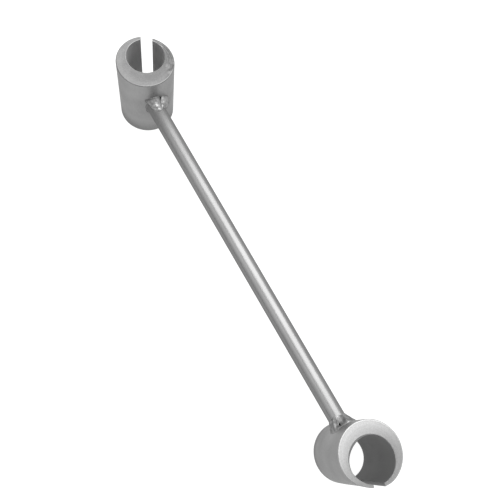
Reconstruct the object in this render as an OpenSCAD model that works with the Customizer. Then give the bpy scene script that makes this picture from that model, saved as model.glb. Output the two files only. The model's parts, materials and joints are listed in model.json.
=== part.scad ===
// Rigid tow link: a round rod with a slotted, thick-walled socket welded across each end.
// Frame: both sockets stand on the plane Z = 0, the origin is midway between them,
// +X runs from the small-bore socket to the big-bore socket, and both bores run along +Z.

/* [Sockets] */
// Outside diameter of both sockets
head_d = 38.1; // [38:0.1:44]
// Height of both sockets, along their bores
head_h = 58.7; // [48:0.1:80]
// Distance between the two sockets' axes
centre_distance = 280; // [150:1:600]
// Bevel on the sockets' outer edges
edge_bevel = 0.6; // [0.2:0.1:1]
// Bevel at the mouths of the bores
mouth_bevel = 0.3; // [0.1:0.1:0.5]

/* [Small end] */
// Diameter of the small bore
small_bore_d = 25.4; // [20:0.1:26]
// How far the small bore lies off its socket's axis, towards the slot
small_bore_offset = 4.2; // [2:0.1:4.2]
// Direction of the small socket's slot, counted from +X
small_slot_angle = 151; // [120:1:240]
// Width of the small socket's slot
small_slot_w = 7.7; // [5:0.1:10]
// How far the slot leans out of plumb, seen from outside the socket
small_slot_lean = 0; // [-3:0.5:3]

/* [Big end] */
// Diameter of the big bore
big_bore_d = 27.4; // [20:0.1:28]
// How far the big bore lies off its socket's axis, towards the slot
big_bore_offset = 3.2; // [2:0.1:3.2]
// Direction of the big socket's slot, counted from +X
big_slot_angle = -16; // [-60:1:60]
// Width of the big socket's slot
big_slot_w = 6.4; // [5:0.1:10]
// How far the slot leans out of plumb, seen from outside the socket
big_slot_lean = 3; // [-3:0.5:3]

/* [Rod] */
// Diameter of the rod
rod_d = 11.1; // [8:0.1:14]
// Height of the rod's axis above the sockets' lower faces
rod_height = 33.5; // [20:0.5:36]
// Sideways distance of the rod's axis from the small socket's axis
rod_shift_small_end = -3.2; // [-4:0.1:4]
// Sideways distance of the rod's axis from the big socket's axis
rod_shift_big_end = 0; // [-4:0.1:4]

/* [Welds] */
// Length of each weld along the rod
weld_leg_rod = 7; // [4:0.1:9]
// Width of each weld across the socket
weld_leg_head = 5; // [3:0.1:6]
// How far the weld's face is hollowed
weld_hollow = 0.5; // [0:0.1:1]
// Gap between the two runs where they start and stop
weld_gap = 0.8; // [0.4:0.1:2]
// Turn about the rod, from the top towards +Y, at which the small end's runs meet
small_weld_seam = 26; // [-45:1:45]
// Turn about the rod, from the top towards +Y, at which the big end's runs meet
big_weld_seam = -18; // [-45:1:45]

/* [Hidden] */
$fn = 120;

head_r = head_d / 2;
rod_r = rod_d / 2;
// Every cut runs this far past the face it opens
past = 1;

// The rod's axis lies level, and turns in plan by the difference of its two shifts
rod_yaw = atan((rod_shift_big_end - rod_shift_small_end) / centre_distance);
rod_axis_length = centre_distance / cos(rod_yaw);

// A weld's section, as distances from the rod's axis and from the socket's axis
weld_toe_on_rod = [rod_r, head_r + weld_leg_rod];
// The outer toe lies a little below the socket's crest, because the socket falls away there
weld_toe_on_head = [rod_r + weld_leg_head, head_r - 0.3 * weld_leg_head];
weld_steps = 8;
// Half of the angle about the rod that the gap between two runs takes up
weld_gap_half_angle = asin(weld_gap / 2 / rod_r);

// Unit vector from the middle of the weld's face towards its root
weld_face = weld_toe_on_head - weld_toe_on_rod;
weld_inward = [weld_face[1], -weld_face[0]] / norm(weld_face);

// Points along the weld's hollowed face, from the rod to the socket
function weld_face_points() = [
    for (i = [0:weld_steps])
        let (t = i / weld_steps)
            weld_toe_on_rod + t * weld_face + 4 * t * (1 - t) * weld_hollow * weld_inward
];

// Solid round bar with bevelled ends, the blank of one socket
module head_blank() {
    rotate_extrude()
        polygon([
            [0, 0],
            [head_r - edge_bevel, 0],
            [head_r, edge_bevel],
            [head_r, head_h - edge_bevel],
            [head_r - edge_bevel, head_h],
            [0, head_h]
        ]);
}

// Bore right through a socket, with a small bevel at each mouth
module through_bore(bore_r) {
    translate([0, 0, -past])
        cylinder(r = bore_r, h = head_h + 2 * past);
    translate([0, 0, -past])
        cylinder(r1 = bore_r + mouth_bevel + past, r2 = bore_r, h = mouth_bevel + past);
    translate([0, 0, head_h - mouth_bevel])
        cylinder(r1 = bore_r, r2 = bore_r + mouth_bevel + past, h = mouth_bevel + past);
}

// Cutter for a slot that is centred on +X at the upper face, and leans on its way down
module slot_cut(slot_w, slot_lean) {
    translate([0, 0, head_h])
        rotate([-slot_lean, 0, 0])
            translate([0, -slot_w / 2, -head_h - past])
                cube([head_r, slot_w, head_h + 2 * past]);
}

// One socket on the Z axis: its bore lies off centre along +X, where the wall is
// thinnest, and the slot opens that wall over the whole height
module slotted_socket(bore_r, bore_offset, slot_w, slot_lean) {
    difference() {
        head_blank();
        translate([bore_offset, 0, 0])
            through_bore(bore_r);
        translate([bore_offset, 0, 0])
            slot_cut(slot_w, slot_lean);
    }
}

// Places its children on the small end's axis, or the big end's axis
module at_small_end() {
    translate([-centre_distance / 2, 0, 0])
        children();
}

module at_big_end() {
    translate([centre_distance / 2, 0, 0])
        children();
}

// Turns its children's Z axis along the rod, away from the small end or the big end
module along_rod_from_small_end() {
    translate([-centre_distance / 2, rod_shift_small_end, rod_height])
        rotate([0, 90, rod_yaw])
            children();
}

module along_rod_from_big_end() {
    translate([centre_distance / 2, rod_shift_big_end, rod_height])
        rotate([0, -90, rod_yaw])
            children();
}

// Solid cylinder over the outside of both sockets, which shapes what is welded to them
module head_outsides() {
    at_small_end() cylinder(r = head_r, h = head_h);
    at_big_end() cylinder(r = head_r, h = head_h);
}

// One weld run: half a ring about the Z axis, on the side of +Y or, mirrored, of -Y.
// turn shifts both of its ends round the rod.
module weld_run(left_side, turn) {
    rotate([0, 0, turn])
        mirror([0, left_side ? 0 : 1, 0])
            rotate([0, 0, weld_gap_half_angle])
                rotate_extrude(angle = 180 - 2 * weld_gap_half_angle)
                    polygon(concat(
                        [[rod_r, 0]],
                        weld_face_points(),
                        [[weld_toe_on_head[0], 0]]
                    ));
}

module small_end_socket() {
    color([0.62, 0.62, 0.62])
        at_small_end()
            rotate([0, 0, small_slot_angle])
                slotted_socket(small_bore_d / 2, small_bore_offset, small_slot_w, small_slot_lean);
}

module big_end_socket() {
    color([0.66, 0.66, 0.66])
        at_big_end()
            rotate([0, 0, big_slot_angle])
                slotted_socket(big_bore_d / 2, big_bore_offset, big_slot_w, big_slot_lean);
}

// The rod's ends are coped to the round outsides of the sockets
module link_rod() {
    color([0.7, 0.7, 0.7])
        difference() {
            along_rod_from_small_end()
                cylinder(r = rod_r, h = rod_axis_length);
            head_outsides();
        }
}

module small_end_weld(left_side) {
    color([0.55, 0.55, 0.56])
        difference() {
            along_rod_from_small_end()
                weld_run(left_side, -small_weld_seam);
            head_outsides();
        }
}

module big_end_weld(left_side) {
    color([0.55, 0.55, 0.56])
        difference() {
            along_rod_from_big_end()
                weld_run(left_side, big_weld_seam);
            head_outsides();
        }
}

// Left is the side of +Y
module small_end_weld_left() { small_end_weld(true); }

module small_end_weld_right() { small_end_weld(false); }

module big_end_weld_left() { big_end_weld(true); }

module big_end_weld_right() { big_end_weld(false); }

small_end_socket();
big_end_socket();
link_rod();
small_end_weld_left();
small_end_weld_right();
big_end_weld_left();
big_end_weld_right();
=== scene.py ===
"""Looks of the slotted socket tow link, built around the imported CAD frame.

The sockets, the rod and the four weld runs are rebuilt as finer meshes in the CAD's places:
filed and ground edges, turned end faces, drawn-bar streaks and rippled hand welds.
"""
import json
import math

import bmesh
import bpy
from mathutils import Matrix, Vector, noise


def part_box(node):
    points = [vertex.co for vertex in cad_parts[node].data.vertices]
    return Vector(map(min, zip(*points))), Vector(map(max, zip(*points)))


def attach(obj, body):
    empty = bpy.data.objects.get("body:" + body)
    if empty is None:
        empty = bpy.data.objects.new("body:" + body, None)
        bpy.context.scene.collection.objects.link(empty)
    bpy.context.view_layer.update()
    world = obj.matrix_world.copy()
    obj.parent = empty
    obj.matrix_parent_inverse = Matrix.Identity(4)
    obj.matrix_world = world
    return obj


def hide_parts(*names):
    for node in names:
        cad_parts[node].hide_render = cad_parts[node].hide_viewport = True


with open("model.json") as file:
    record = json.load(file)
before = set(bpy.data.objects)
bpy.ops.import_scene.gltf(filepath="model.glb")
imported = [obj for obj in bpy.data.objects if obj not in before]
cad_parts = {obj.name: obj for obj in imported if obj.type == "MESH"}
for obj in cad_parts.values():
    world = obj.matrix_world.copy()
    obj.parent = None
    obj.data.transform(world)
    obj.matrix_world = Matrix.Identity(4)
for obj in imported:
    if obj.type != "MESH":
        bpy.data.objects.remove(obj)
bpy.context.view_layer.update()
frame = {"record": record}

MM = 0.001
UP = Vector((0, 0, 1))
BODY = "root"

# ---------------------------------------------------------------- sizes from the frame

# Widths of the two slots, and how far out of plumb they lean, as in the CAD
SMALL_SLOT_W = 7.7 * MM
BIG_SLOT_W = 6.4 * MM
SMALL_SLOT_LEAN = 0.0
BIG_SLOT_LEAN = math.radians(3)


def mount(name):
    """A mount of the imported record, by name."""
    return next(m for m in frame["record"]["mounts"] if m["name"] == name)


class Socket:
    """Places and sizes of one socket, in the frame."""

    def __init__(self, node, bore_mount, slot_w, slot_lean):
        low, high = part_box(node)
        bore = mount(bore_mount)
        self.node = node
        self.centre = Vector(((low.x + high.x) / 2, (low.y + high.y) / 2, 0))
        self.radius = (high.x - low.x) / 2
        self.height = high.z
        self.bore_centre = Vector((bore["pos_m"][0], bore["pos_m"][1], 0))
        self.bore_radius = bore["dims"]["r_mm"] * MM
        offset = self.bore_centre - self.centre
        self.slot_angle = math.atan2(offset.y, offset.x)
        self.slot_w = slot_w
        self.slot_lean = slot_lean

    def slot_walls(self, radius, z):
        """Angles from the slot's middle to its two walls, on a circle, at a height."""
        shift = -math.tan(self.slot_lean) * (self.height - z)
        left = math.asin((self.slot_w / 2 + shift) / radius)
        right = math.asin((self.slot_w / 2 - shift) / radius)
        return left, 2 * math.pi - right

    def reach(self, point, direction):
        """How far point must travel along a level direction to leave the socket's round outside."""
        start = (point - self.centre).xy
        along = direction.xy
        b = start.dot(along)
        return -b + math.sqrt(b * b - start.dot(start) + self.radius ** 2)


small = Socket("small_end_socket", "small_bore", SMALL_SLOT_W, SMALL_SLOT_LEAN)
big = Socket("big_end_socket", "big_bore", BIG_SLOT_W, BIG_SLOT_LEAN)

rod_low, rod_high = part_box("link_rod")
rod_radius = (rod_high.z - rod_low.z) / 2
rod_z = (rod_high.z + rod_low.z) / 2
rod_start = Vector((rod_low.x, rod_low.y + rod_radius, rod_z))
rod_end = Vector((rod_high.x, rod_high.y - rod_radius, rod_z))
rod_dir = (rod_end - rod_start).normalized()
rod_side = UP.cross(rod_dir)


def rod_axis_at(x):
    """Point of the rod's axis at that x."""
    return rod_start + rod_dir * ((x - rod_start.x) / rod_dir.x)


def around_rod(angle):
    """Unit vector square to the rod: 0 is up and 90 degrees is towards +Y."""
    return UP * math.cos(angle) + rod_side * math.sin(angle)


# ---------------------------------------------------------------- small helpers


def lerp(a, b, t):
    return a + (b - a) * t


def smooth(low, high, x):
    """0 below low, 1 above high, and a smooth step between."""
    t = min(max((x - low) / (high - low), 0.0), 1.0)
    return t * t * (3 - 2 * t)


def level(angle):
    """Unit vector in the XY plane."""
    return Vector((math.cos(angle), math.sin(angle), 0))


def bump_at(distance, radius):
    """1 at the middle, falling smoothly to 0 at about twice the radius."""
    return math.exp(-((distance / radius) ** 2))


def object_from(name, bm, materials, node, sharp_angle=38):
    """Turns a bmesh into a shaded object that stands for a CAD node.

    Edges sharper than sharp_angle, in degrees, stay hard.
    """
    bmesh.ops.recalc_face_normals(bm, faces=bm.faces)
    mesh = bpy.data.meshes.new(name)
    bm.to_mesh(mesh)
    bm.free()
    mesh.polygons.foreach_set("use_smooth", [True] * len(mesh.polygons))
    mesh.set_sharp_from_angle(angle=math.radians(sharp_angle))
    for material in materials:
        mesh.materials.append(material)
    obj = bpy.data.objects.new(name, mesh)
    bpy.context.scene.collection.objects.link(obj)
    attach(obj, BODY)
    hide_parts(node)


def skin(bm, columns, tags):
    """Joins columns of points, each a closed loop, with quads. Returns the first and the last loop.

    tags hold the material index of the faces that follow each point of a column.
    """
    grid = [[bm.verts.new(point) for point in column] for column in columns]
    count = len(grid[0])
    for left, right in zip(grid, grid[1:]):
        for k in range(count):
            after = (k + 1) % count
            face = bm.faces.new((left[k], right[k], right[after], left[after]))
            face.material_index = tags[k]
    return grid[0], grid[-1]


# ---------------------------------------------------------------- node materials


# How much of its grazing reflection each surface keeps
EDGE_TINT = 0.55
# Stretch that makes a pattern the same all the way down
FLAT = (1, 1, 0)


class Graph:
    """A material's node tree with one Principled shader, and short names for what is wired into it."""

    def __init__(self, name, metallic=1.0, roughness=0.4, anisotropic=0.0):
        self.material = bpy.data.materials.new(name)
        self.material.use_nodes = True
        self.tree = self.material.node_tree
        self.tree.nodes.clear()
        self.shader = self.tree.nodes.new("ShaderNodeBsdfPrincipled")
        output = self.tree.nodes.new("ShaderNodeOutputMaterial")
        self.tree.links.new(self.shader.outputs["BSDF"], output.inputs["Surface"])
        self.shader.inputs["Metallic"].default_value = metallic
        self.shader.inputs["Roughness"].default_value = roughness
        self.shader.inputs["Anisotropic"].default_value = anisotropic
        self.shader.inputs["Specular Tint"].default_value = (EDGE_TINT, EDGE_TINT, EDGE_TINT, 1)
        self.place = self.tree.nodes.new("ShaderNodeTexCoord").outputs["Object"]

    def put(self, socket, value):
        """Sets an input socket to a number or colour, or wires an output into it."""
        if isinstance(value, bpy.types.NodeSocket):
            self.tree.links.new(value, socket)
        else:
            socket.default_value = value

    def math(self, operation, a, b=0.0, c=0.0):
        node = self.tree.nodes.new("ShaderNodeMath")
        node.operation = operation
        for socket, value in zip(node.inputs, (a, b, c)):
            self.put(socket, value)
        return node.outputs["Value"]

    def scaled(self, value, gain, base):
        """value * gain + base. base is a number or another output."""
        return self.math("MULTIPLY_ADD", value, gain, base)

    def product(self, first, *factors):
        for factor in factors:
            first = self.math("MULTIPLY", first, factor)
        return first

    def height(self):
        """Height of each place on the surface above the floor."""
        node = self.tree.nodes.new("ShaderNodeSeparateXYZ")
        self.put(node.inputs["Vector"], self.place)
        return node.outputs["Z"]

    def mapped(self, shift=(0, 0, 0), stretch=(1, 1, 1)):
        """Object coordinates, shifted and then stretched."""
        moved = self.tree.nodes.new("ShaderNodeVectorMath")
        moved.operation = "SUBTRACT"
        self.put(moved.inputs[0], self.place)
        self.put(moved.inputs[1], shift)
        stretched = self.tree.nodes.new("ShaderNodeVectorMath")
        stretched.operation = "MULTIPLY"
        self.put(stretched.inputs[0], moved.outputs["Vector"])
        self.put(stretched.inputs[1], stretch)
        return stretched.outputs["Vector"]

    def distance(self, point, stretch=(1, 1, 1)):
        """Distance of each place on the surface from a point."""
        node = self.tree.nodes.new("ShaderNodeVectorMath")
        node.operation = "LENGTH"
        self.put(node.inputs[0], self.mapped(point, stretch))
        return node.outputs["Value"]

    def towards(self, point, angle):
        """How far each place lies from a point along a level direction, given in degrees."""
        node = self.tree.nodes.new("ShaderNodeVectorMath")
        node.operation = "DOT_PRODUCT"
        self.put(node.inputs[0], self.mapped(point))
        self.put(node.inputs[1], level(math.radians(angle)))
        return node.outputs["Value"]

    def noise(self, vector, scale, detail, roughness=0.5, one_d=False):
        node = self.tree.nodes.new("ShaderNodeTexNoise")
        if one_d:
            node.noise_dimensions = "1D"
            self.put(node.inputs["W"], vector)
        else:
            self.put(node.inputs["Vector"], vector)
        self.put(node.inputs["Scale"], scale)
        self.put(node.inputs["Detail"], detail)
        self.put(node.inputs["Roughness"], roughness)
        return node.outputs["Fac"]

    def span(self, value, given, wanted):
        """Maps a value smoothly from one range to another."""
        node = self.tree.nodes.new("ShaderNodeMapRange")
        node.interpolation_type = "SMOOTHSTEP"
        for name, number in zip(("From Min", "From Max", "To Min", "To Max"), (*given, *wanted)):
            self.put(node.inputs[name], number)
        self.put(node.inputs["Value"], value)
        return node.outputs["Result"]

    def grey(self, value):
        """Wires a brightness into the base colour as a neutral grey."""
        node = self.tree.nodes.new("ShaderNodeCombineColor")
        for channel in node.inputs:
            self.put(channel, value)
        self.put(self.shader.inputs["Base Color"], node.outputs["Color"])

    def rough(self, value):
        self.put(self.shader.inputs["Roughness"], value)

    def bump(self, height, depth):
        """Fine relief: height runs from 0 to 1, and depth is its size in metres."""
        node = self.tree.nodes.new("ShaderNodeBump")
        self.put(node.inputs["Distance"], depth)
        self.put(node.inputs["Height"], height)
        self.put(self.shader.inputs["Normal"], node.outputs["Normal"])


# Distances from the weld between which the tone near it dies away: heat colouring where it is darker,
# painted light where it is lighter
WELD_HEAT_AND_LIGHT_FADE = (8 * MM, 20 * MM)


def turned_side(name, socket, weld_point, weld_heat_and_light_tone, foot_shade_height, foot_shade_tone):
    """Satin turned outside: fine tool marks, soft mottling, a changed tone near the weld (heat
    colouring where darker, painted light where lighter) and painted shade towards the bottom.
    """
    g = Graph(name)
    height = g.height()
    lines = g.noise(height, scale=2600, detail=2, one_d=True)
    mottle = g.noise(g.mapped(socket.centre), scale=75, detail=4)
    grain = g.noise(g.mapped(socket.centre, stretch=(1, 1, 0.35)), scale=900, detail=3)
    # Tone near the weld: heat colouring where darker, painted light where lighter
    tone_shift = g.span(g.distance(weld_point), WELD_HEAT_AND_LIGHT_FADE, (weld_heat_and_light_tone, 1.0))
    # Painted shade, darker towards the bottom
    foot_shade = g.span(height, (0, foot_shade_height), (foot_shade_tone, 1.0))
    tone = g.scaled(mottle, gain=0.12, base=0.235)
    tone = g.scaled(lines, gain=0.025, base=tone)
    g.grey(g.product(tone, foot_shade, tone_shift))
    g.rough(g.scaled(grain, gain=0.22, base=0.38))
    g.bump(g.scaled(grain, gain=0.7, base=lines), depth=0.012 * MM)
    return g.material


# How much the fine grain of the end faces varies their tone
GRAIN_TONE = 0.1
# Direction in degrees in which painted shade darkens an end face, as the light falls off across it,
# and where it does, in socket radii
SHADE_DIRECTION = 8
SHADE_FADE = (-0.9, 0.585)
# Direction in degrees in which its ground patch lies, and how far out that begins
PATCH_DIRECTION = 68
PATCH_FADE = (10 * MM, 15.5 * MM)
# The end faces are a little darker near the bore than near the rim
RIM_FADE = (12.5 * MM, 17.5 * MM)
RIM_TONES = (0.88, 1.04)
# Painted highlights on the end faces: the distances over which they die away, and how much lighter
# they make them
HIGHLIGHT_FADE = (0.3 * MM, 2.0 * MM)
HIGHLIGHT_TONE = 1.5


def faced_end(name, socket, bright, shade_side_tone, ground, rubs_and_highlights):
    """Turned end face: rings, grain and scratches, painted shade darkening one side as the light falls
    off, a ground patch and painted highlights.

    The tone of the painted shade on the darker side and that of the ground patch are given beside 1
    elsewhere. The painted highlights are listed by direction in degrees and by distance in millimetres
    from the socket's axis.
    """
    g = Graph(name, anisotropic=0.3)
    out = g.distance(socket.centre, FLAT)
    rings = g.noise(out, scale=1500, detail=3, one_d=True)
    cloud = g.noise(g.mapped(socket.centre, FLAT), scale=160, detail=4)
    scratch = g.noise(g.mapped(socket.centre, stretch=(0.25, 2.2, 0)), scale=700, detail=2)
    grain = g.noise(g.mapped(socket.centre, FLAT), scale=1300, detail=2)
    tone = g.scaled(rings, gain=0.05, base=bright - GRAIN_TONE / 2)
    tone = g.scaled(cloud, gain=0.08, base=tone)
    tone = g.scaled(grain, gain=GRAIN_TONE, base=tone)
    # Painted highlights: lighter spots at the bruises on the rim
    for direction, out_mm in rubs_and_highlights:
        spot = socket.centre + level(math.radians(direction)) * out_mm * MM + UP * socket.height
        tone = g.product(tone, g.span(g.distance(spot), HIGHLIGHT_FADE, (HIGHLIGHT_TONE, 1.0)))
    # Painted shade: darker towards one side, as the light falls off across the face
    shade_fade = [share * socket.radius for share in SHADE_FADE]
    side_shade = g.span(g.towards(socket.centre, SHADE_DIRECTION), shade_fade, (1.0, shade_side_tone))
    patch = g.span(g.towards(socket.centre, PATCH_DIRECTION), PATCH_FADE, (1.0, ground))
    rim = g.span(out, RIM_FADE, RIM_TONES)
    g.grey(g.product(tone, rim, patch, side_shade))
    g.rough(g.scaled(cloud, gain=0.2, base=0.3))
    g.bump(g.scaled(scratch, gain=0.4, base=g.math("ADD", rings, grain)), depth=0.012 * MM)
    return g.material


# Heights between which the painted shade in the bores lightens, and the tones there
BORE_FADE = (0, 50 * MM)
BORE_TONES = (0.5, 1.0)


def dull_bore(name, socket, bright):
    """Bored inside: dull and rough, with faint rings, and painted shade that darkens it towards the
    bottom.
    """
    g = Graph(name)
    height = g.height()
    lines = g.noise(height, scale=1800, detail=2, one_d=True)
    cloud = g.noise(g.mapped(socket.bore_centre), scale=120, detail=4)
    # Painted shade, darker deeper down the bore
    foot_shade = g.span(height, BORE_FADE, BORE_TONES)
    tone = g.scaled(lines, gain=0.03, base=bright)
    tone = g.scaled(cloud, gain=0.04, base=tone)
    g.grey(g.product(tone, foot_shade))
    g.rough(g.scaled(cloud, gain=0.2, base=0.5))
    g.bump(lines, depth=0.02 * MM)
    return g.material


def worn_edge(name, socket, bright, roughness):
    """Filed bevels, with an uneven rub along them."""
    g = Graph(name)
    rub = g.noise(g.mapped(socket.centre), scale=420, detail=4)
    g.grey(g.scaled(rub, gain=0.16, base=bright))
    g.rough(g.scaled(rub, gain=0.2, base=roughness))
    g.bump(rub, depth=0.03 * MM)
    return g.material


def sawn_slot(name, socket):
    """Sawn slot walls, with marks across the wall."""
    g = Graph(name)
    marks = g.noise(g.mapped(socket.centre, stretch=(0.2, 0.2, 1)), scale=1600, detail=3)
    g.grey(g.scaled(marks, gain=0.12, base=0.14))
    g.rough(g.scaled(marks, gain=0.3, base=0.35))
    g.bump(marks, depth=0.04 * MM)
    return g.material


# Distances from the small socket's axis between which the rod gets bright again
SMALL_END_FADE = (26 * MM, 52 * MM)


def drawn_bar(name):
    """Bright drawn bar: long fine streaks, a few rub marks, and a duller end at the small socket."""
    g = Graph(name)
    streaks = g.noise(g.mapped(stretch=(0.02, 1, 1)), scale=1400, detail=3)
    rubs_and_highlights = g.noise(g.mapped(stretch=(0.3, 1, 1)), scale=90, detail=4)
    tone = g.scaled(streaks, gain=0.05, base=0.145)
    tone = g.scaled(rubs_and_highlights, gain=0.06, base=tone)
    # That end is darker and rougher
    from_small = g.distance(rod_axis_at(small.centre.x))
    darkened = g.span(from_small, SMALL_END_FADE, (0.86, 1.0))
    roughened = g.span(from_small, SMALL_END_FADE, (0.22, 0.0))
    g.grey(g.product(tone, darkened))
    g.rough(g.math("ADD", g.scaled(streaks, gain=0.16, base=0.24), roughened))
    g.bump(streaks, depth=0.008 * MM)
    return g.material


# Values of the oxide's noise between which bare metal gives way to oxide
OXIDE_FADE = (0.35, 0.65)
# Tone of the oxide beside the bare metal's, and the roughness of the oxide and of the bare metal
OXIDE_TONE = 0.65
WELD_ROUGHNESS = (0.48, 0.34)
# Distances outside the socket between which the weld's toe changes tone: darker at the small weld,
# painted light at the big weld
TOE_FADE = (0.1 * MM, 1.4 * MM)


def weld_metal(name, socket, toe_tone_and_light, bright):
    """Hand-laid weld metal: shiny crests, duller mottled oxide, and a changed tone at its toe, darker
    at the small weld and painted light at the big weld.
    """
    g = Graph(name)
    away = g.distance(socket.centre, FLAT)
    # Darker at the small weld's toe, painted light at the big weld's toe
    toe = g.span(away, [socket.radius + outside for outside in TOE_FADE], (toe_tone_and_light, 1.0))
    oxide = g.noise(g.mapped(), scale=380, detail=5, roughness=0.6)
    fine = g.noise(g.mapped(), scale=1800, detail=2)
    g.grey(g.product(g.span(oxide, OXIDE_FADE, (bright * OXIDE_TONE, bright)), toe))
    g.rough(g.span(oxide, OXIDE_FADE, WELD_ROUGHNESS))
    g.bump(g.scaled(fine, gain=0.5, base=oxide), depth=0.05 * MM)
    return g.material


# ---------------------------------------------------------------- sockets

# Material index of each kind of face
SIDE, END, BORE, EDGE, CUT = range(5)

RIM_BEVEL = 0.6 * MM
MOUTH_BEVEL = 0.3 * MM
# A burr's crest lies lower than the mouth's bevel by this many times the burr's size
CREST_DROP = 1.1
# Length over which the bore's wall runs back out below a burr
BURR_TAIL = 9 * MM
# Radius along the slot's edges, and the places of the columns across it, as shares of that radius
SLOT_ROUNDING = 0.28 * MM
ROUNDING_PLACES = (0, 0.08, 0.2, 0.4, 0.65, 1.0)
# Rows up a wall, across a face and round a bevel, and columns round a socket
WALL_ROWS = 44
FACE_ROWS = 22
BEVEL_ROWS = 4
COLUMNS = 320


def socket_section(height, burr):
    """One closed section through the wall, as rows of four values.

    share runs across the wall from the bore (0) to the outside (1), shift is a distance added to
    that, then come the height and the tag of the face that follows. burr is how far the metal was
    rolled in over the bore's upper mouth.
    """
    rows = []
    straight = height - 2 * RIM_BEVEL
    for k in range(WALL_ROWS):
        rows.append((1, 0, RIM_BEVEL + straight * k / WALL_ROWS, SIDE))
    for k in range(BEVEL_ROWS):
        turn = math.pi / 2 * k / BEVEL_ROWS
        inward, below = RIM_BEVEL * (1 - math.cos(turn)), RIM_BEVEL * (1 - math.sin(turn))
        rows.append((1, -inward, height - below, EDGE))
    for k in range(FACE_ROWS):
        share = 1 - k / FACE_ROWS
        rows.append((share, lerp(MOUTH_BEVEL, -RIM_BEVEL, share), height, END))
    # The mouth slopes down to the burr's crest, and the wall runs back out below it
    crest = MOUTH_BEVEL + CREST_DROP * burr
    for k in range(BEVEL_ROWS):
        shift = lerp(MOUTH_BEVEL, -burr, k / BEVEL_ROWS)
        rows.append((0, shift, height - crest * k / BEVEL_ROWS, BORE))
    straight = height - crest - MOUTH_BEVEL
    for k in range(WALL_ROWS):
        below = straight * k / WALL_ROWS
        rows.append((0, -burr * (1 - smooth(0, BURR_TAIL, below)), height - crest - below, BORE))
    for k in range(BEVEL_ROWS):
        rows.append((0, MOUTH_BEVEL * k / BEVEL_ROWS, MOUTH_BEVEL * (1 - k / BEVEL_ROWS), BORE))
    for k in range(FACE_ROWS):
        share = k / FACE_ROWS
        rows.append((share, lerp(MOUTH_BEVEL, -RIM_BEVEL, share), 0, END))
    for k in range(BEVEL_ROWS):
        turn = math.pi / 2 * k / BEVEL_ROWS
        inward, above = RIM_BEVEL * (1 - math.sin(turn)), RIM_BEVEL * (1 - math.cos(turn))
        rows.append((1, -inward, above, EDGE))
    return rows


def column_places(length):
    """Places of the columns round the socket, from 0 to 1, close together beside the slot."""
    beside_slot = [SLOT_ROUNDING * share / length for share in ROUNDING_PLACES]
    low, high = beside_slot[-1], 1 - beside_slot[-1]
    middle = [lerp(low, high, k / COLUMNS) for k in range(1, COLUMNS)]
    return beside_slot + middle + [1 - place for place in reversed(beside_slot)]


def slot_edge_inset(distance):
    """How far the rounding along the slot's edges cuts in, at a distance from the slot's wall."""
    left = max(SLOT_ROUNDING - distance, 0)
    return SLOT_ROUNDING - math.sqrt(SLOT_ROUNDING ** 2 - left ** 2)


def build_socket(name, socket, burr, wear, materials):
    """A socket as sections side by side all round, from one wall of the slot to the other.

    burr(direction) gives the burr's size at the bore's upper mouth, and wear(socket, point, outward)
    moves each point.
    """
    length = socket.radius * (2 * math.pi - socket.slot_w / socket.radius)
    columns = []
    for place in column_places(length):
        inset = slot_edge_inset(min(place, 1 - place) * length)
        mouth_turn = lerp(*socket.slot_walls(socket.bore_radius, socket.height), place)
        rows = socket_section(socket.height, burr(socket.slot_angle + mouth_turn))
        column = []
        for share, shift, z, tag in rows:
            outer_turn = lerp(*socket.slot_walls(socket.radius, z), place)
            inner_turn = lerp(*socket.slot_walls(socket.bore_radius, z), place)
            outer = socket.centre + level(socket.slot_angle + outer_turn) * socket.radius
            inner = socket.bore_centre + level(socket.slot_angle + inner_turn) * socket.bore_radius
            outward = (outer - inner).normalized()
            wall = (outer - inner).length
            across = lerp(inset, wall - inset, share) + shift
            column.append(wear(socket, inner + outward * across + UP * z, outward))
        columns.append(column)
    tags = [row[-1] for row in rows]
    bm = bmesh.new()
    first, last = skin(bm, columns, tags)
    for loop in (first, last):
        bm.faces.new(loop).material_index = CUT
    object_from(name, bm, materials, socket.node)


def no_burr(direction):
    return 0.0


# Direction of the big bore's burr and how far it spreads each way, in degrees, and its size
BURR_DIRECTION = -152
BURR_SPREAD = 40
BURR_SIZE = 1.5 * MM


def rolled_burr(direction):
    """The big bore's mouth was closed in a little on one side."""
    away = math.degrees(math.remainder(direction - math.radians(BURR_DIRECTION), 2 * math.pi))
    return BURR_SIZE * bump_at(away, BURR_SPREAD)


def polar(socket, point):
    """Direction in degrees and distance of a point from the socket's axis."""
    away = point - socket.centre
    return math.degrees(math.atan2(away.y, away.x)), away.xy.length


# The ground patch on the small socket's upper rim: where it begins and ends, in degrees, the
# distances from the axis between which it slopes down, its depth at the rim, and how far down
# the socket it is felt
GROUND_START = (44, 62)
GROUND_END = (136, 150)
GROUND_SLOPE = (14.5 * MM, 19.5 * MM)
GROUND_DEPTH = 1.0 * MM
GROUND_FADE = 5 * MM
# Its ridges: their height, radians for each millimetre outwards, radians for each degree round
RIDGE_HEIGHT = 0.09 * MM
RIDGE_TURNS = 4.6
RIDGE_SKEW = 0.03
RIDGE_START = (14 * MM, 15.5 * MM)
ROUGH_HEIGHT = 0.10 * MM
ROUGH_SIZE = 1.6 * MM
# Two spots that the grinding left proud, and a dent: direction in degrees, and distance from the
# axis, size and depth in millimetres
RIM_SPOTS = ((53, 14.2, 1.5, -0.14), (37, 18.0, 1.6, -0.16), (44, 16, 1.2, 0.15))


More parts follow.
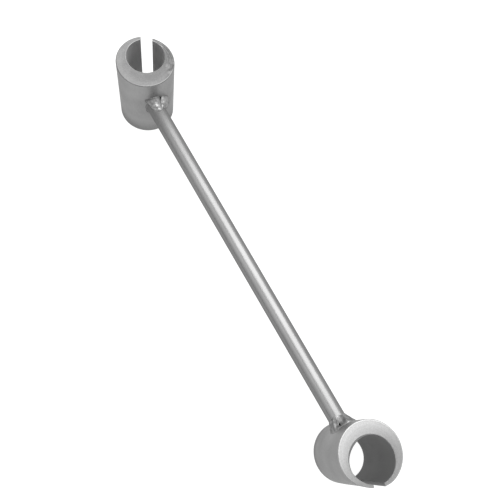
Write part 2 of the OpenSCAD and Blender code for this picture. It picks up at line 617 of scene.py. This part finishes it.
def worn_small(socket, point, outward):
    """The small socket's upper rim is ground down on one side, with bruises beside the patch."""
    angle, out = polar(socket, point)
    near_top = smooth(socket.height - GROUND_FADE, socket.height, point.z)
    if near_top == 0:
        return point
    zone = smooth(*GROUND_START, angle) * (1 - smooth(*GROUND_END, angle))
    ridges = RIDGE_HEIGHT * math.sin(out / MM * RIDGE_TURNS + RIDGE_SKEW * angle)
    ridges += ROUGH_HEIGHT * noise.noise(point / ROUGH_SIZE)
    drop = zone * (smooth(*GROUND_SLOPE, out) * GROUND_DEPTH + ridges * smooth(*RIDGE_START, out))
    for direction, away, size, depth in RIM_SPOTS:
        spot = socket.centre + level(math.radians(direction)) * away * MM
        drop += depth * MM * bump_at((point - spot).xy.length, size * MM)
    return point - UP * max(drop, 0.0) * near_top


# How far the big socket's thin lip is pressed in, how much its outside is filed, and how much
# the lip across the slot is filed, all at the upper end
LIP_PRESSED = 0.55 * MM
LIP_FILED = 0.5 * MM
OTHER_LIP_FILED = 0.2 * MM
# Depth under the socket's outside that the file reached, and the depth that stays as it was
FILED_DEPTH = 2.6 * MM
WORN_DEPTH = 4 * MM


def worn_big(socket, point, outward):
    """One of the big socket's thin lips is pressed in and filed towards the upper end.

    The steps are in degrees from +X, and that lip ends at the slot, at about -16.
    """
    angle, out = polar(socket, point)
    if out < socket.radius - WORN_DEPTH or abs(angle) > 90:
        return point
    outside = smooth(socket.radius - FILED_DEPTH, socket.radius, out)
    before_slot = 1 - smooth(-20, -16, angle)
    pressed = LIP_PRESSED * smooth(-85, -52, angle) * before_slot
    filed = LIP_FILED * smooth(-66, -44, angle) * before_slot
    other_lip = OTHER_LIP_FILED * (1 - smooth(-2, 10, angle)) * smooth(-16, -10, angle)
    rise = smooth(0, socket.height, point.z)
    return point - outward * rise * (pressed + (filed + other_lip) * outside)


# ---------------------------------------------------------------- rod

# Faces round the rod and along it
ROD_SIDES = 96
ROD_ROWS = 160
# The rod's ends and the backs of the welds run this far into what they touch, so that no gap shows
SINK = 0.2 * MM


def build_rod(name, materials):
    """The round bar, with both ends coped to the sockets."""
    columns = []
    for k in range(ROD_SIDES):
        turn = 2 * math.pi * k / ROD_SIDES
        edge = around_rod(turn) * rod_radius
        at_small = rod_axis_at(small.centre.x) + edge
        at_big = rod_axis_at(big.centre.x) + edge
        low = at_small + rod_dir * (small.reach(at_small, rod_dir) - SINK)
        high = at_big - rod_dir * (big.reach(at_big, -rod_dir) - SINK)
        columns.append([lerp(low, high, row / ROD_ROWS) for row in range(ROD_ROWS + 1)])
    bm = bmesh.new()
    grid = [[bm.verts.new(point) for point in column] for column in columns]
    for k in range(ROD_SIDES):
        left, right = grid[k], grid[(k + 1) % ROD_SIDES]
        for row in range(ROD_ROWS):
            bm.faces.new((left[row], right[row], right[row + 1], left[row + 1]))
    bm.faces.new([column[0] for column in grid])
    bm.faces.new([column[-1] for column in grid])
    object_from(name, bm, materials, "link_rod")


# ---------------------------------------------------------------- welds

# Sections along a run, and steps across its face
WELD_STEPS = 150
FACE_STEPS = 26
# How strongly the sections crowd towards both ends of a run
CROWDING = 0.11
# Distance of the middle of a run from the rod's surface
RUN_MIDDLE = 2.5 * MM
RIPPLE_PITCH = 1.35 * MM
RIPPLE_HEIGHT = 0.07 * MM
# How far a ripple bows back at its ends, in pitches, and how much of it lies below the face
RIPPLE_BOW = 0.9
RIPPLE_DIP = 0.6
LUMP_HEIGHT = 0.25 * MM
LUMP_SIZE = 2.6 * MM
# How far the lumps' noise is shifted, one way for one run and the other way for the other
LUMP_SHIFT = 7.0
GROOVE_LENGTH = 1.3 * MM
# Makes a hump's crest as high as its swell: t * (1 - t) ** 2 is 4 / 27 at most
HUMP = 27 / 4
# How far the two runs overlap at the upper seam, and each run passes the lower one
UPPER_OVERLAP = 0.15 * MM
LOWER_OVERLAP = 0.1 * MM


def wrapped(turn):
    """A turn in degrees, brought to between -180 and 180."""
    return (turn + 180) % 360 - 180


class Joint:
    """One welded joint: where it is, how big its runs are and where they meet.

    Turns are in degrees about the rod, from the top towards +Y, and sizes are in metres.
    A place across the weld's face runs from the socket's toe (0) to the rod's toe (1).
    away is the direction along the rod, away from the socket.
    legs(turn) gives the leg along the rod, the leg across the socket, and how far the face swells
    on its socket side and on its rod side. drops are single drops of weld metal, or dents where the
    height is negative: turn, place across the face, radius and height, the last two in millimetres.
    The two runs meet at the turn seam, and again half a turn on, in grooves of depth groove. At seam
    they also leave a hole: hole wide, at the place hole_at across the face, and hole_size long in
    the same measure.
    """

    def __init__(self, socket, away, legs, drops, seam, groove, hole, hole_at, hole_size):
        self.socket = socket
        self.away = away
        self.legs = legs
        self.drops = drops
        self.seam = seam
        self.groove = groove
        self.hole = hole
        self.hole_at = hole_at
        self.hole_size = hole_size

    def place(self, turn, out, rise):
        """A point at a turn about the rod, a distance from its axis, and a height above the socket."""
        spoke = rod_axis_at(self.socket.centre.x) + around_rod(math.radians(turn)) * out
        return spoke + self.away * (self.socket.reach(spoke, self.away) + rise)

    def run_turn(self, side, share, t):
        """Turn of a run's section, a share of the way along the run and a place t across the face."""
        leg_head = self.legs(self.seam + side * 180 * share)[1]
        out = rod_radius + leg_head * (1 - t)
        opening = self.hole * bump_at(t - self.hole_at, self.hole_size) - UPPER_OVERLAP
        start = math.degrees(opening / 2 / out)
        stop = 180 + math.degrees(LOWER_OVERLAP / out)
        return self.seam + side * lerp(start, stop, share)


def small_legs(turn):
    """Two plump lobes on the rod's upper side, next to nothing on its -Y side, a fillet below.

    Sizes are in millimetres until they are returned.
    """
    turn = wrapped(turn)
    thin = 1 - smooth(-56, -30, turn) + smooth(150, 175, turn)
    below = smooth(110, 150, abs(turn))
    right = smooth(10, 40, turn) + 1 - smooth(-160, -120, turn)
    plump = lerp(1 - min(thin, 1), 0.5, below)
    leg_rod = lerp(0.7, lerp(7.4, 5.8, right), plump)
    leg_head = lerp(0.5, 5.7, plump)
    left_lobe = bump_at(turn + 4, 22)
    right_lobe = bump_at(turn - 72, 38)
    head_swell = 0.15 * left_lobe + 1.7 * right_lobe - 0.3 * plump
    rod_swell = 0.25 * left_lobe + 0.9 * right_lobe - 0.3 * plump
    return leg_rod * MM, leg_head * MM, head_swell * MM, rod_swell * MM


def big_legs(turn):
    """A hollow fillet, with a raised shoulder on either side of the pinhole.

    Sizes are in millimetres until they are returned.
    """
    turn = wrapped(turn)
    side = smooth(15, 75, abs(turn))
    left_shoulder = bump_at(turn + 43, 8)
    right_shoulder = bump_at(turn - 16, 9)
    sides = 0.45 * smooth(35, 80, abs(turn))
    head_swell = left_shoulder + right_shoulder + sides - 0.45
    rod_swell = 0.6 * left_shoulder + 0.1 * right_shoulder + 0.75 * sides - 0.45
    minus_y = smooth(-170, -110, turn) * (1 - smooth(-85, -40, turn))
    leg_rod = lerp(7.0, 5.6, side) - 1.6 * bump_at(turn - 22, 24)
    leg_head = lerp(lerp(4.6, 4.0, side), 2.6, minus_y)
    return leg_rod * MM, leg_head * MM, head_swell * MM, rod_swell * MM


def face_height(joint, side, turn, t, from_end):
    """How far a run's face stands proud of the straight line between its toes."""
    leg_rod, leg_head, head_swell, rod_swell = joint.legs(turn)
    out = rod_radius + leg_head * (1 - t)
    middle = 4 * t * (1 - t)
    # Two humps, a third and two thirds of the way across the face
    raised = HUMP * t * (1 - t) * (head_swell * (1 - t) + rod_swell * t)
    arc = math.radians(turn - joint.seam) * (rod_radius + leg_head / 2)
    ripple = abs(math.sin(math.pi * (arc / RIPPLE_PITCH - RIPPLE_BOW * (2 * t - 1) ** 2)))
    raised += RIPPLE_HEIGHT * (ripple - RIPPLE_DIP) * min(middle * 2, 1)
    spot = joint.place(turn, out, leg_rod * t)
    lump = noise.noise(spot / LUMP_SIZE + Vector((LUMP_SHIFT * side, 0, 0)))
    raised += LUMP_HEIGHT * lump * math.sqrt(middle)
    near_seam = 1 - smooth(0, GROOVE_LENGTH, from_end)
    raised -= joint.groove * near_seam * (1 - t) * math.sqrt(middle)
    for drop_turn, drop_at, radius, height in joint.drops:
        aside = math.radians(turn - drop_turn) * out
        along = (t - drop_at) * math.hypot(leg_head, leg_rod)
        raised += height * MM * bump_at(math.hypot(aside, along), radius * MM)
    return raised


def weld_column(joint, side, share):
    """One section of a weld run: its face from the socket's toe to the rod's, and its hidden back."""
    from_end = min(share, 1 - share) * math.pi * (rod_radius + RUN_MIDDLE)
    points = []
    for k in range(FACE_STEPS + 1):
        t = k / FACE_STEPS
        turn = joint.run_turn(side, share, t)
        leg_rod, leg_head = joint.legs(turn)[:2]
        across = math.hypot(leg_head, leg_rod)
        raised = face_height(joint, side, turn, t, from_end)
        out = rod_radius + leg_head * (1 - t) + raised * leg_rod / across
        rise = leg_rod * t + raised * leg_head / across
        points.append(joint.place(turn, out, rise))
    socket_toe = joint.run_turn(side, share, 0)
    rod_toe = joint.run_turn(side, share, 1)
    leg_rod = joint.legs(rod_toe)[0]
    leg_head = joint.legs(socket_toe)[1]
    points.append(joint.place(rod_toe, rod_radius - SINK, leg_rod))
    points.append(joint.place(rod_toe, rod_radius - SINK, -SINK))
    points.append(joint.place(socket_toe, rod_radius + leg_head, -SINK))
    return points


def build_weld(name, node, joint, side, material):
    """One run: side 1 goes round by +Y and side -1 by -Y, from the upper seam to the lower one."""
    columns = []
    for k in range(WELD_STEPS + 1):
        share = k / WELD_STEPS
        share = share - CROWDING * math.sin(2 * math.pi * share)
        columns.append(weld_column(joint, side, share))
    bm = bmesh.new()
    first, last = skin(bm, columns, [0] * len(columns[0]))
    bm.faces.new(first)
    bm.faces.new(last)
    object_from(name, bm, [material], node, sharp_angle=60)


# ---------------------------------------------------------------- the object

# The drops and dents of each weld, as Joint describes them
small_drops = (
    (-8, 0.66, 1.0, 0.4), (-6, 0.95, 1.6, 0.3), (2, 0.95, 1.2, 0.2), (0, 0.33, 0.9, -0.2),
    (-19, 0.75, 0.9, -0.3), (-42, 0.5, 1.5, -0.7),
    (38, 0.6, 1.2, 0.45), (34, 0.85, 1.0, 0.4), (56, 0.78, 0.9, -0.35),
)
big_drops = ((-18, 0.3, 1.2, -0.6),)
small_joint = Joint(
    small, rod_dir, small_legs, small_drops, seam=24, groove=1.3 * MM,
    hole=1.5 * MM, hole_at=0.05, hole_size=0.3,
)
big_joint = Joint(
    big, -rod_dir, big_legs, big_drops, seam=-18, groove=0.1 * MM,
    hole=1.3 * MM, hole_at=0.3, hole_size=0.13,
)


def weld_spot(joint):
    """Where the rod's axis meets the socket."""
    return joint.place(0, 0, 0)


small_materials = [
    # Heat colouring near the weld, and painted shade towards the bottom
    turned_side(
        "small_socket_side", small, weld_spot(small_joint),
        weld_heat_and_light_tone=0.88, foot_shade_height=16 * MM, foot_shade_tone=0.66,
    ),
    # Painted shade on one side of the end face, and painted highlights at the bruises
    faced_end(
        "small_socket_end", small,
        bright=0.147, shade_side_tone=0.83, ground=0.7, rubs_and_highlights=((52.6, 14.4), (37, 17.9)),
    ),
    dull_bore("small_socket_bore", small, bright=0.42),
    worn_edge("small_socket_edge", small, bright=0.1, roughness=0.42),
    sawn_slot("small_socket_slot", small),
]
big_materials = [
    # Painted light near the weld, and painted shade towards the bottom
    turned_side(
        "big_socket_side", big, weld_spot(big_joint),
        weld_heat_and_light_tone=1.15, foot_shade_height=9 * MM, foot_shade_tone=0.78,
    ),
    # Painted shade on one side of the end face
    faced_end("big_socket_end", big, bright=0.162, shade_side_tone=0.62, ground=1.0, rubs_and_highlights=()),
    dull_bore("big_socket_bore", big, bright=0.3),
    worn_edge("big_socket_edge", big, bright=0.22, roughness=0.28),
    sawn_slot("big_socket_slot", big),
]

build_socket("small_end_socket_turned", small, no_burr, worn_small, small_materials)
build_socket("big_end_socket_turned", big, rolled_burr, worn_big, big_materials)
build_rod("link_rod_bar", [drawn_bar("rod_drawn")])
# Darker toe on the small weld, painted light at the big weld's toe
small_bead = weld_metal("small_weld_bead", small, toe_tone_and_light=0.65, bright=0.28)
big_bead = weld_metal("big_weld_bead", big, toe_tone_and_light=1.3, bright=0.25)
build_weld("small_end_bead_left", "small_end_weld_left", small_joint, 1, small_bead)
build_weld("small_end_bead_right", "small_end_weld_right", small_joint, -1, small_bead)
build_weld("big_end_bead_left", "big_end_weld_left", big_joint, 1, big_bead)
build_weld("big_end_bead_right", "big_end_weld_right", big_joint, -1, big_bead)

# ---------------------------------------------------------------- floor, light and camera

# Half of the floor's side, in metres, and how far it lies below the object
FLOOR_HALF = 30
FLOOR_DROP = 0.1 * MM
FLOOR_GLOW = 0.98


def build_floor():
    """A plain pale floor that glows, as a light table does."""
    bm = bmesh.new()
    bmesh.ops.create_grid(bm, x_segments=8, y_segments=8, size=FLOOR_HALF)
    mesh = bpy.data.meshes.new("floor")
    bm.to_mesh(mesh)
    bm.free()
    g = Graph("floor_pale", metallic=0.0, roughness=0.9)
    tone_shift = g.noise(g.mapped(), scale=3, detail=2)
    g.grey(g.scaled(tone_shift, gain=0.02, base=0.09))
    g.put(g.shader.inputs["Emission Color"], (1, 1, 1, 1))
    g.put(g.shader.inputs["Emission Strength"], FLOOR_GLOW)
    mesh.materials.append(g.material)
    floor = bpy.data.objects.new("floor", mesh)
    floor.location.z = -FLOOR_DROP
    bpy.context.scene.collection.objects.link(floor)


# The surroundings' brightest direction, the cosines of the angle from it between which they get
# brighter, and their strengths at those two
SKY_DIRECTION = (0, 0.4, 0.92)
SKY_FADE = (-0.1, 0.75)
SKY_STRENGTHS = (0.45, 1.9)


def build_world():
    """Soft grey surroundings: brightest overhead, paler towards +Y than towards -Y."""
    world = bpy.data.worlds.new("surroundings")
    world.use_nodes = True
    tree = world.node_tree
    tree.nodes.clear()
    place = tree.nodes.new("ShaderNodeTexCoord")
    facing = tree.nodes.new("ShaderNodeVectorMath")
    facing.operation = "DOT_PRODUCT"
    facing.inputs[1].default_value = Vector(SKY_DIRECTION).normalized()
    ramp = tree.nodes.new("ShaderNodeMapRange")
    ramp.interpolation_type = "SMOOTHSTEP"
    for name, number in zip(("From Min", "From Max", "To Min", "To Max"), SKY_FADE + SKY_STRENGTHS):
        ramp.inputs[name].default_value = number
    background = tree.nodes.new("ShaderNodeBackground")
    output = tree.nodes.new("ShaderNodeOutputWorld")
    tree.links.new(place.outputs["Generated"], facing.inputs[0])
    tree.links.new(facing.outputs["Value"], ramp.inputs["Value"])
    tree.links.new(ramp.outputs["Result"], background.inputs["Strength"])
    tree.links.new(background.outputs["Background"], output.inputs["Surface"])
    bpy.context.scene.world = world


def build_softbox(name, place, target, width, depth, radiance):
    """A rectangular studio light at a place, facing a target. radiance is its brightness."""
    data = bpy.data.lights.new(name, "AREA")
    data.shape = "RECTANGLE"
    data.size = width
    data.size_y = depth
    data.energy = radiance * math.pi * width * depth
    light = bpy.data.objects.new(name, data)
    light.location = place
    light.rotation_mode = "QUATERNION"
    light.rotation_quaternion = (Vector(target) - Vector(place)).to_track_quat("-Z", "Y")
    bpy.context.scene.collection.objects.link(light)


def build_camera():
    """Close above the big end, looking down along the link, with the camera rolled to the left."""
    place = Vector((77, -98, 408)) * MM
    aim = Vector((-8.2, 14.1, 0)) * MM
    roll = math.radians(24.5)
    data = bpy.data.cameras.new("camera")
    data.sensor_width = 36
    data.lens = 43.9
    data.clip_start = 0.01
    camera = bpy.data.objects.new("camera", data)
    look = (aim - place).to_track_quat("-Z", "Y").to_matrix()
    camera.matrix_world = Matrix.Translation(place) @ (look @ Matrix.Rotation(roll, 3, "Z")).to_4x4()
    bpy.context.scene.collection.objects.link(camera)
    bpy.context.scene.camera = camera


build_floor()
build_world()
build_softbox(
    "overhead", place=(-0.09, 0.36, 0.88), target=(-0.09, 0.1, 0), width=0.8, depth=1.1, radiance=3.2,
)
build_softbox(
    "fill", place=(-0.05, -0.72, 0.52), target=(0, 0, 0.03), width=1.0, depth=0.85, radiance=1.0,
)
build_camera()
bpy.context.scene.view_settings.view_transform = "Standard"
